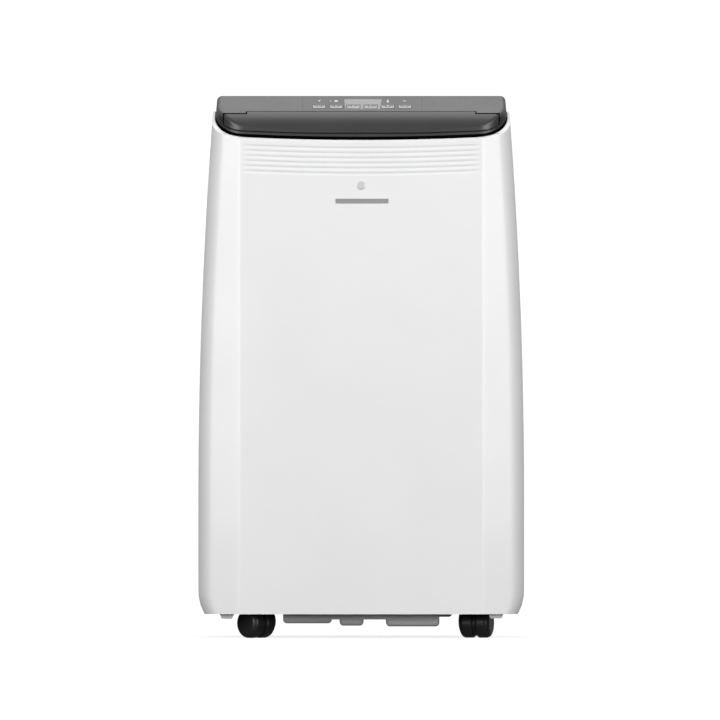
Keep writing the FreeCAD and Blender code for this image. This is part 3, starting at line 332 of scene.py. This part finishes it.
def dress_frame():
    """Give every carried-over node the material of its slot."""
    slots = {entry["node"]: entry["material_slot"] for entry in frame["record"]["subparts"]}
    for name, node in frame["nodes"].items():
        material = MATERIALS[slots[name]]
        if not node.material_slots:
            node.data.materials.append(material)
        for material_slot in node.material_slots:
            material_slot.material = material


# ---- the front cover -----------------------------------------------------
# Each plan outline: where its straight strip starts, the strip's slope and the corner's radius.
CREASED = (CREASE_X, STRIP_SLOPE, CORNER_RADIUS)
SOFT = (SOFT_X, SOFT_SLOPE, SOFT_CORNER_RADIUS)


# The outline's steps, from the middle of the front (0) to the split at the side (1).
CREASE_STEP = 0.5
STRIP_END_STEP = 0.66
CORNER_END_STEP = 0.9
FLAT_COLUMNS = 48
STRIP_COLUMNS = 8
CORNER_COLUMNS = 18
SIDE_COLUMNS = 8
CREASE_STEPS = (0.482, 0.490, 0.496, 0.5, 0.504, 0.51, 0.52)


def plan_point(step, z, inset, outline=CREASED):
    """A point on the cover's half outline at height z; step runs from the middle (0) to the split (1)."""
    turn_x, strip_slope, corner = outline
    front = front_at(z) + inset
    side = half_width_at(z, inset)
    radius = corner - inset
    slope = math.atan(strip_slope)
    turn = math.pi / 2 - slope
    turn_y = front + FRONT_BULGE * (turn_x / CREASE_X) ** 2
    centre_x = side - radius
    strip_end_x = centre_x + radius * math.sin(slope)
    strip_end_y = turn_y + strip_slope * (strip_end_x - turn_x)
    centre_y = strip_end_y + radius * math.cos(slope)
    turn_step = CREASE_STEP * turn_x / CREASE_X
    if step <= turn_step:
        x = CREASE_X * step / CREASE_STEP
        y = front + FRONT_BULGE * (x / CREASE_X) ** 2
        return x, y
    if step <= STRIP_END_STEP:
        part = (step - turn_step) / (STRIP_END_STEP - turn_step)
        x = turn_x + (strip_end_x - turn_x) * part
        return x, turn_y + strip_slope * (x - turn_x)
    if step <= CORNER_END_STEP:
        angle = slope + turn * (step - STRIP_END_STEP) / (CORNER_END_STEP - STRIP_END_STEP)
        return centre_x + radius * math.sin(angle), centre_y - radius * math.cos(angle)
    part = (step - CORNER_END_STEP) / (1 - CORNER_END_STEP)
    return side, centre_y + (SPLIT_Y - centre_y) * part


def column_steps():
    """Where the cover's columns of points stand, closer together around the crease."""
    steps = [index / FLAT_COLUMNS * CREASE_STEP for index in range(FLAT_COLUMNS - 2)]
    steps += CREASE_STEPS
    stretches = ((CREASE_STEPS[-1], STRIP_END_STEP, STRIP_COLUMNS),
                 (STRIP_END_STEP, CORNER_END_STEP, CORNER_COLUMNS),
                 (CORNER_END_STEP, 1.0, SIDE_COLUMNS))
    for start, stop, count in stretches:
        steps += [start + index / count * (stop - start) for index in range(1, count + 1)]
    return steps


def eased_plan_point(step, z, inset, outline):
    """plan_point, with the crease eased over a few millimetres."""
    x, y = plan_point(step, z, inset, outline)
    away = abs(x - CREASE_X)
    if away < CREASE_SOFTNESS and outline == CREASED:
        y += (1 - away / CREASE_SOFTNESS) ** 2 * CREASE_SOFTNESS * CREASE_EASE
    return x, y


def rib_dip(depth_below_rim, x):
    """How far the surface dips inwards, for the shallow ribs under the rim."""
    fade = 1 - smooth((abs(x) - RIB_FADE[0]) / (RIB_FADE[1] - RIB_FADE[0]))
    place = (depth_below_rim - RIB_FIRST) / RIB_PITCH
    if place < -0.5 or place > RIB_COUNT - 0.5:
        return 0.0
    wave = 0.5 + 0.5 * math.cos(2 * math.pi * (place - round(place)))
    return RIB_DEPTH * fade * wave ** RIB_SHARPNESS


# Rows of points: below the ribs, across them and round the rim's edge.
LOW_ROWS = 50
RIB_ROWS = 84
EDGE_ROWS = 3
INNER_LEVEL = 0.6
FIRST_GUESS_Z = 0.5
REPEATS = 4


def outer_levels():
    """Rows of points from the skirt up: fractions of the lower part, then depths below the rim."""
    levels = [("low", index / LOW_ROWS) for index in range(LOW_ROWS + 1)]
    rib_span = RIB_ZONE - EDGE_ROUND
    levels += [("rib", RIB_ZONE - rib_span * index / RIB_ROWS) for index in range(1, RIB_ROWS + 1)]
    return levels


def surface_point(kind, value, step, inset, outline=CREASED):
    """A point on the cover; the rim's height follows its depth, so the place is found by repeating."""
    z = FIRST_GUESS_Z
    x = y = 0.0
    for _ in range(REPEATS):
        x, y = eased_plan_point(step, z, inset, outline)
        top = rim_height(y)
        z = SKIRT_Z + (top - RIB_ZONE - SKIRT_Z) * value if kind == "low" else top - value
    dip = rib_dip(top - z, x) if inset == 0.0 else 0.0
    return x, y + dip, z


def cover_ring(step):
    """The cover's closed section at one column, from the skirt up, over the rim and down inside."""
    ring = [surface_point(kind, value, step, 0.0) for kind, value in outer_levels()]
    for index in range(1, EDGE_ROWS + 1):
        angle = index / EDGE_ROWS * math.pi / 2
        inset = EDGE_ROUND * (1 - math.cos(angle))
        drop = EDGE_ROUND * (1 - math.sin(angle))
        ring.append(surface_point("rib", drop, step, inset))
    ring.append(surface_point("rib", 0.0, step, COVER_WALL - INNER_EDGE, SOFT))
    ring.append(surface_point("rib", INNER_EDGE, step, COVER_WALL, SOFT))
    ring.append(surface_point("rib", RIM_LEDGE, step, COVER_WALL, SOFT))
    ring.append(surface_point("rib", RIM_LEDGE, step, COVER_WALL))
    ring.append(surface_point("low", INNER_LEVEL, step, COVER_WALL))
    ring.append(surface_point("low", 0.0, step, COVER_WALL))
    return ring


def build_front_cover():
    """The white front cover, mirrored about the middle, as one closed skin."""
    steps = column_steps()
    columns = [[(-x, y, z) for x, y, z in cover_ring(step)] for step in reversed(steps[1:])]
    columns += [cover_ring(step) for step in steps]
    mesh = bpy.data.meshes.new("front_shell")
    grid = bmesh.new()
    points = [[grid.verts.new(point) for point in column] for column in columns]
    rows = len(points[0])
    for left, right in zip(points, points[1:]):
        for row in range(rows):
            after = (row + 1) % rows
            grid.faces.new((left[row], right[row], right[after], left[after]))
    grid.faces.new(points[0])
    grid.faces.new(list(reversed(points[-1])))
    bmesh.ops.recalc_face_normals(grid, faces=grid.faces)
    grid.to_mesh(mesh)
    grid.free()
    shell = bpy.data.objects.new("front_shell", mesh)
    bpy.context.collection.objects.link(shell)
    finish_piece(shell, "white_shell", "cabinet", smooth_angle=35)
    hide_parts("front_cover")


def finish_piece(piece, slot, body, smooth_angle=None, material=None):
    """Give a piece its material (the slot's own, or a named one) and fix it to its body."""
    piece.data.materials.append(MATERIALS[material or slot])
    if smooth_angle is not None:
        piece.data.shade_smooth()
        piece.data.set_sharp_from_angle(angle=math.radians(smooth_angle))
    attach(piece, body)


# ---- sensor window and printed marks ----------------------------------------
def new_piece(name, grid):
    mesh = bpy.data.meshes.new(name)
    bmesh.ops.recalc_face_normals(grid, faces=grid.faces)
    grid.to_mesh(mesh)
    grid.free()
    piece = bpy.data.objects.new(name, mesh)
    bpy.context.collection.objects.link(piece)
    return piece


SENSOR_RADIUS = 0.0063
SENSOR_RISE = 0.0013
SENSOR_DEPTH = 0.0015


def build_sensor():
    """A shallow domed window in the middle of the front."""
    low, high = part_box("sensor_window")
    centre = (low + high) / 2
    rings, turns = 8, 40
    grid = bmesh.new()
    pole = grid.verts.new((centre.x, front_at(centre.z) - SENSOR_RISE, centre.z))
    previous = None
    for ring in range(1, rings + 1):
        part = ring / rings
        points = []
        for turn in range(turns):
            angle = 2 * math.pi * turn / turns
            x = centre.x + SENSOR_RADIUS * part * math.cos(angle)
            z = centre.z + SENSOR_RADIUS * part * math.sin(angle)
            rise = SENSOR_RISE * math.sqrt(max(0.0, 1 - part ** 2)) if ring < rings else -SENSOR_DEPTH
            points.append(grid.verts.new((x, front_at(z) - rise, z)))
        for turn in range(turns):
            after = (turn + 1) % turns
            if previous is None:
                grid.faces.new((pole, points[turn], points[after]))
            else:
                grid.faces.new((previous[turn], points[turn], points[after], previous[after]))
        previous = points
    grid.faces.new(previous)
    window = new_piece("sensor_dome", grid)
    finish_piece(window, "smoked_lens", "cabinet", smooth_angle=50, material="sensor_lens")
    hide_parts("sensor_window")


# ---- the slanted control panel -------------------------------------------
FASCIA_LOW, FASCIA_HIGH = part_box("control_fascia")
PANEL_TILT = math.radians(28.0)
UP_SLOPE = Vector((0, math.cos(PANEL_TILT), math.sin(PANEL_TILT)))
OUT_OF_PANEL = Vector((0, -math.sin(PANEL_TILT), math.cos(PANEL_TILT)))
# Where the fascia starts and ends, up the slope.
FASCIA_START = 3.5 * MM
FASCIA_END = 36.0 * MM
PANEL_ORIGIN = Vector((0, FASCIA_LOW.y - FASCIA_START * UP_SLOPE.y,
                       FASCIA_HIGH.z - FASCIA_END * UP_SLOPE.z))
KEY_NAMES = sorted(name for name in frame["nodes"] if name.startswith("key_"))
KEY_RISE = 0.0002
KEY_MIDDLE = 12.8 * MM
KEY_MARK_HALF = 7.6
KEY_MARK_EDGE = 0.8
LAMP_MIDDLE = 28.5 * MM
PRINT_THICKNESS = 0.00006


def bar(x0, x1, s0, s1):
    return [(x0, s0), (x1, s0), (x1, s1), (x0, s1)]


def slanted_bar(length, width, angle):
    turn = math.radians(angle)
    along = (math.cos(turn) * length / 2, math.sin(turn) * length / 2)
    across = (-math.sin(turn) * width / 2, math.cos(turn) * width / 2)
    return [(sx * along[0] + sy * across[0], sx * along[1] + sy * across[1])
            for sx, sy in ((-1, -1), (1, -1), (1, 1), (-1, 1))]


def arc(radius, width, start, stop, count=20):
    """Short blocks along an arc, in degrees."""
    blocks = []
    for index in range(count):
        a = math.radians(start + (stop - start) * index / count)
        b = math.radians(start + (stop - start) * (index + 1) / count)
        inner, outer = radius - width / 2, radius + width / 2
        corners = ((inner, a), (outer, a), (outer, b), (inner, b))
        blocks.append([(reach * math.cos(ray), reach * math.sin(ray)) for reach, ray in corners])
    return blocks


def disc(radius, x=0.0, s=0.0, count=24):
    return [(x + radius * math.cos(2 * math.pi * i / count), s + radius * math.sin(2 * math.pi * i / count))
            for i in range(count)]


def moved(outline, x, s):
    return [(a + x, b + s) for a, b in outline]


def print_on_panel(name, outlines, x, s, rise, body):
    """Thin printed outlines (millimetres) on the slanted panel, centred at x, s."""
    grid = bmesh.new()
    for outline in outlines:
        top = []
        foot = []
        for a, b in outline:
            place = PANEL_ORIGIN + Vector((x + a * MM, 0, 0)) + UP_SLOPE * (s + b * MM)
            place += OUT_OF_PANEL * rise
            foot.append(grid.verts.new(place))
            top.append(grid.verts.new(place + OUT_OF_PANEL * PRINT_THICKNESS))
        grid.faces.new(top)
        grid.faces.new(list(reversed(foot)))
        for index in range(len(top)):
            after = (index + 1) % len(top)
            grid.faces.new((foot[index], foot[after], top[after], top[index]))
    piece = new_piece(name, grid)
    finish_piece(piece, "badge_grey", body, material="white_print")


def icons():
    """One generic sign for each key: on/off, up, fan, cold, down, timer."""
    ring = arc(1.7, 0.5, 125, 415)
    up = [[(-2.0, -1.2), (2.0, -1.2), (0, 1.8)]]
    down = [[(-2.0, 1.4), (0, -1.6), (2.0, 1.4)]]
    fan = []
    for turn in (90, 210, 330):
        ray = math.radians(turn)
        fan.append(moved(slanted_bar(2.4, 1.1, turn), 1.3 * math.cos(ray), 1.3 * math.sin(ray)))
    cold = [slanted_bar(4.4, 0.5, turn) for turn in (90, 30, -30)]
    clock = arc(1.8, 0.45, 0, 360, 28) + [bar(-0.2, 0.2, 0, 1.2), bar(-0.1, 1.0, -0.2, 0.2)]
    return [ring + [bar(-0.25, 0.25, 0.3, 2.3)], up, fan, cold, down, clock]


def build_prints():
    """A bracket and a sign on each key, in millimetres, and four lamp signs above the keys."""
    half = KEY_MARK_HALF
    edge = KEY_MARK_EDGE
    for name, icon in zip(KEY_NAMES, icons()):
        low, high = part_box(name)
        frame_marks = [bar(-half, half, -3.9, -2.3), bar(-half, -half + edge, -2.3, 2.6),
                       bar(half - edge, half, -2.3, 2.6)]
        ticks = [bar(x - 0.4, x + 0.4, -1.5, 1.2) for x in (-5.4, -4.0, 4.0, 5.4)]
        raised = [moved(outline, 0, 0.9) for outline in icon]
        middle = (low.x + high.x) / 2
        print_on_panel(name + "_print", frame_marks + ticks + raised, middle, KEY_MIDDLE, KEY_RISE, name)
    lamps = [(0, [bar(-1.0, 1.0, -1.6, 0.2), [(-1.0, 0.2), (1.0, 0.2), (2.2, 2.4), (0.6, 2.4)]]),
             (1, [disc(2.2), bar(-2.0, 2.0, -3.2, -1.4), bar(-7.6, -6.8, -2.6, 2.2)]),
             (4, [[(-1.7, -4.2), (1.7, -4.2), (0.6, 3.4), (-0.6, 3.4)]]),
             (5, [bar(-2.6, 1.6, -0.9, 0.7)])]
    for index, outlines in lamps:
        low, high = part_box(KEY_NAMES[index])
        middle = (low.x + high.x) / 2
        print_on_panel("lamp_sign_%d" % (index + 1), outlines, middle, LAMP_MIDDLE, 0.0, "cabinet")


# ---- stage ---------------------------------------------------------------
CAMERA_DISTANCE = 30.0
VIEW_WIDTH = 0.9292
VIEW_CENTRE = (-0.0016, 0.3592)


def add_camera():
    """A long lens far in front, level with the middle of the cabinet."""
    data = bpy.data.cameras.new("camera")
    data.sensor_width = 36.0
    data.lens = data.sensor_width * (CAMERA_DISTANCE + FRONT_Y) / VIEW_WIDTH
    data.clip_end = CAMERA_DISTANCE * 3
    camera = bpy.data.objects.new("camera", data)
    camera.location = (VIEW_CENTRE[0], -CAMERA_DISTANCE, VIEW_CENTRE[1])
    camera.rotation_euler = (math.pi / 2, 0, 0)
    bpy.context.collection.objects.link(camera)
    bpy.context.scene.camera = camera


def add_area(name, location, target, size, power):
    """A soft rectangular light, aimed at a point."""
    data = bpy.data.lights.new(name, "AREA")
    data.shape = "RECTANGLE"
    data.size, data.size_y = size
    data.energy = power
    light = bpy.data.objects.new(name, data)
    light.location = location
    direction = Vector(target) - Vector(location)
    light.rotation_euler = direction.to_track_quat("-Z", "Y").to_euler()
    bpy.context.collection.objects.link(light)


WORLD_LIGHT = 0.34
BACKDROP_LIGHT = 1.05
SIDE_FADE = (0.62, 0.92)
SIDE_LIGHT = 0.06
UNDER_FADE = (-0.35, 0.1)
UNDER_LIGHT = 0.3


def add_world():
    """White studio: bright ahead, behind and above, dimmer at both sides."""
    world = bpy.data.worlds.new("studio")
    bpy.context.scene.world = world
    world.use_nodes = True
    nodes = world.node_tree.nodes
    links = world.node_tree.links
    nodes.clear()
    output = nodes.new("ShaderNodeOutputWorld")
    coordinates = nodes.new("ShaderNodeTexCoord")
    split = nodes.new("ShaderNodeSeparateXYZ")
    links.new(coordinates.outputs["Generated"], split.inputs["Vector"])
    sideways = math_node(nodes, links, "ABSOLUTE", split.outputs["X"])
    fall = ramp(nodes, links, sideways, grey(1.0), grey(SIDE_LIGHT), *SIDE_FADE)
    under = fade_between(nodes, links, split.outputs["Z"], UNDER_FADE, UNDER_LIGHT)
    shaded = nodes.new("ShaderNodeMix")
    shaded.data_type = "RGBA"
    shaded.blend_type = "MULTIPLY"
    shaded.inputs["Factor"].default_value = 1.0
    links.new(fall, shaded.inputs["A"])
    links.new(under, shaded.inputs["B"])
    lighting = nodes.new("ShaderNodeBackground")
    lighting.inputs["Strength"].default_value = WORLD_LIGHT
    links.new(shaded.outputs["Result"], lighting.inputs["Color"])
    backdrop = nodes.new("ShaderNodeBackground")
    backdrop.inputs["Color"].default_value = (1, 1, 1, 1)
    backdrop.inputs["Strength"].default_value = BACKDROP_LIGHT
    path = nodes.new("ShaderNodeLightPath")
    mix = nodes.new("ShaderNodeMixShader")
    links.new(path.outputs["Is Camera Ray"], mix.inputs["Fac"])
    links.new(lighting.outputs["Background"], mix.inputs[1])
    links.new(backdrop.outputs["Background"], mix.inputs[2])
    links.new(mix.outputs["Shader"], output.inputs["Surface"])


FLOOR_RADIUS = 0.46
FLOOR_FADE = (0.10, 0.437)
FLOOR_COLOUR = (0.24, 0.24, 0.24, 1)
FLOOR_GLOW = 0.8


def add_floor():
    """A pale disc that fades out into the white backdrop and throws no light back."""
    mesh = bpy.data.meshes.new("floor")
    circle = bmesh.new()
    bmesh.ops.create_circle(circle, cap_ends=True, segments=96, radius=FLOOR_RADIUS)
    circle.to_mesh(mesh)
    circle.free()
    floor = bpy.data.objects.new("floor", mesh)
    bpy.context.collection.objects.link(floor)
    material, nodes, links = new_material("floor")
    shader = nodes["Principled BSDF"]
    shader.inputs["Base Color"].default_value = FLOOR_COLOUR
    shader.inputs["Roughness"].default_value = 0.6
    shader.inputs["Specular IOR Level"].default_value = 0.0
    shader.inputs["Emission Color"].default_value = (1, 1, 1, 1)
    shader.inputs["Emission Strength"].default_value = FLOOR_GLOW
    coordinates = nodes.new("ShaderNodeTexCoord")
    length = nodes.new("ShaderNodeVectorMath")
    length.operation = "LENGTH"
    links.new(coordinates.outputs["Object"], length.inputs[0])
    alpha = fade_between(nodes, links, length.outputs["Value"], FLOOR_FADE, 1.0, 0.0)
    links.new(alpha, shader.inputs["Alpha"])
    floor.data.materials.append(material)
    floor.visible_diffuse = False
    floor.visible_glossy = False


dress_frame()
add_camera()
add_world()
add_floor()
for side, name in ((-1, "key_left"), (1, "key_right")):
    add_area(name, (side * 1.75, -2.25, 1.2), (0, 0, 0.5), (1.2, 2.2), 50)
add_area("top_back", (0, 0.7, 2.4), (0, 0, 0.6), (2.4, 1.4), 21)
add_area("back_fill", (0, 2.6, 1.3), (0, 0, 0.4), (1.4, 1.8), 30)
bpy.context.scene.view_settings.view_transform = "Standard"
build_front_cover()
build_sensor()
build_prints()
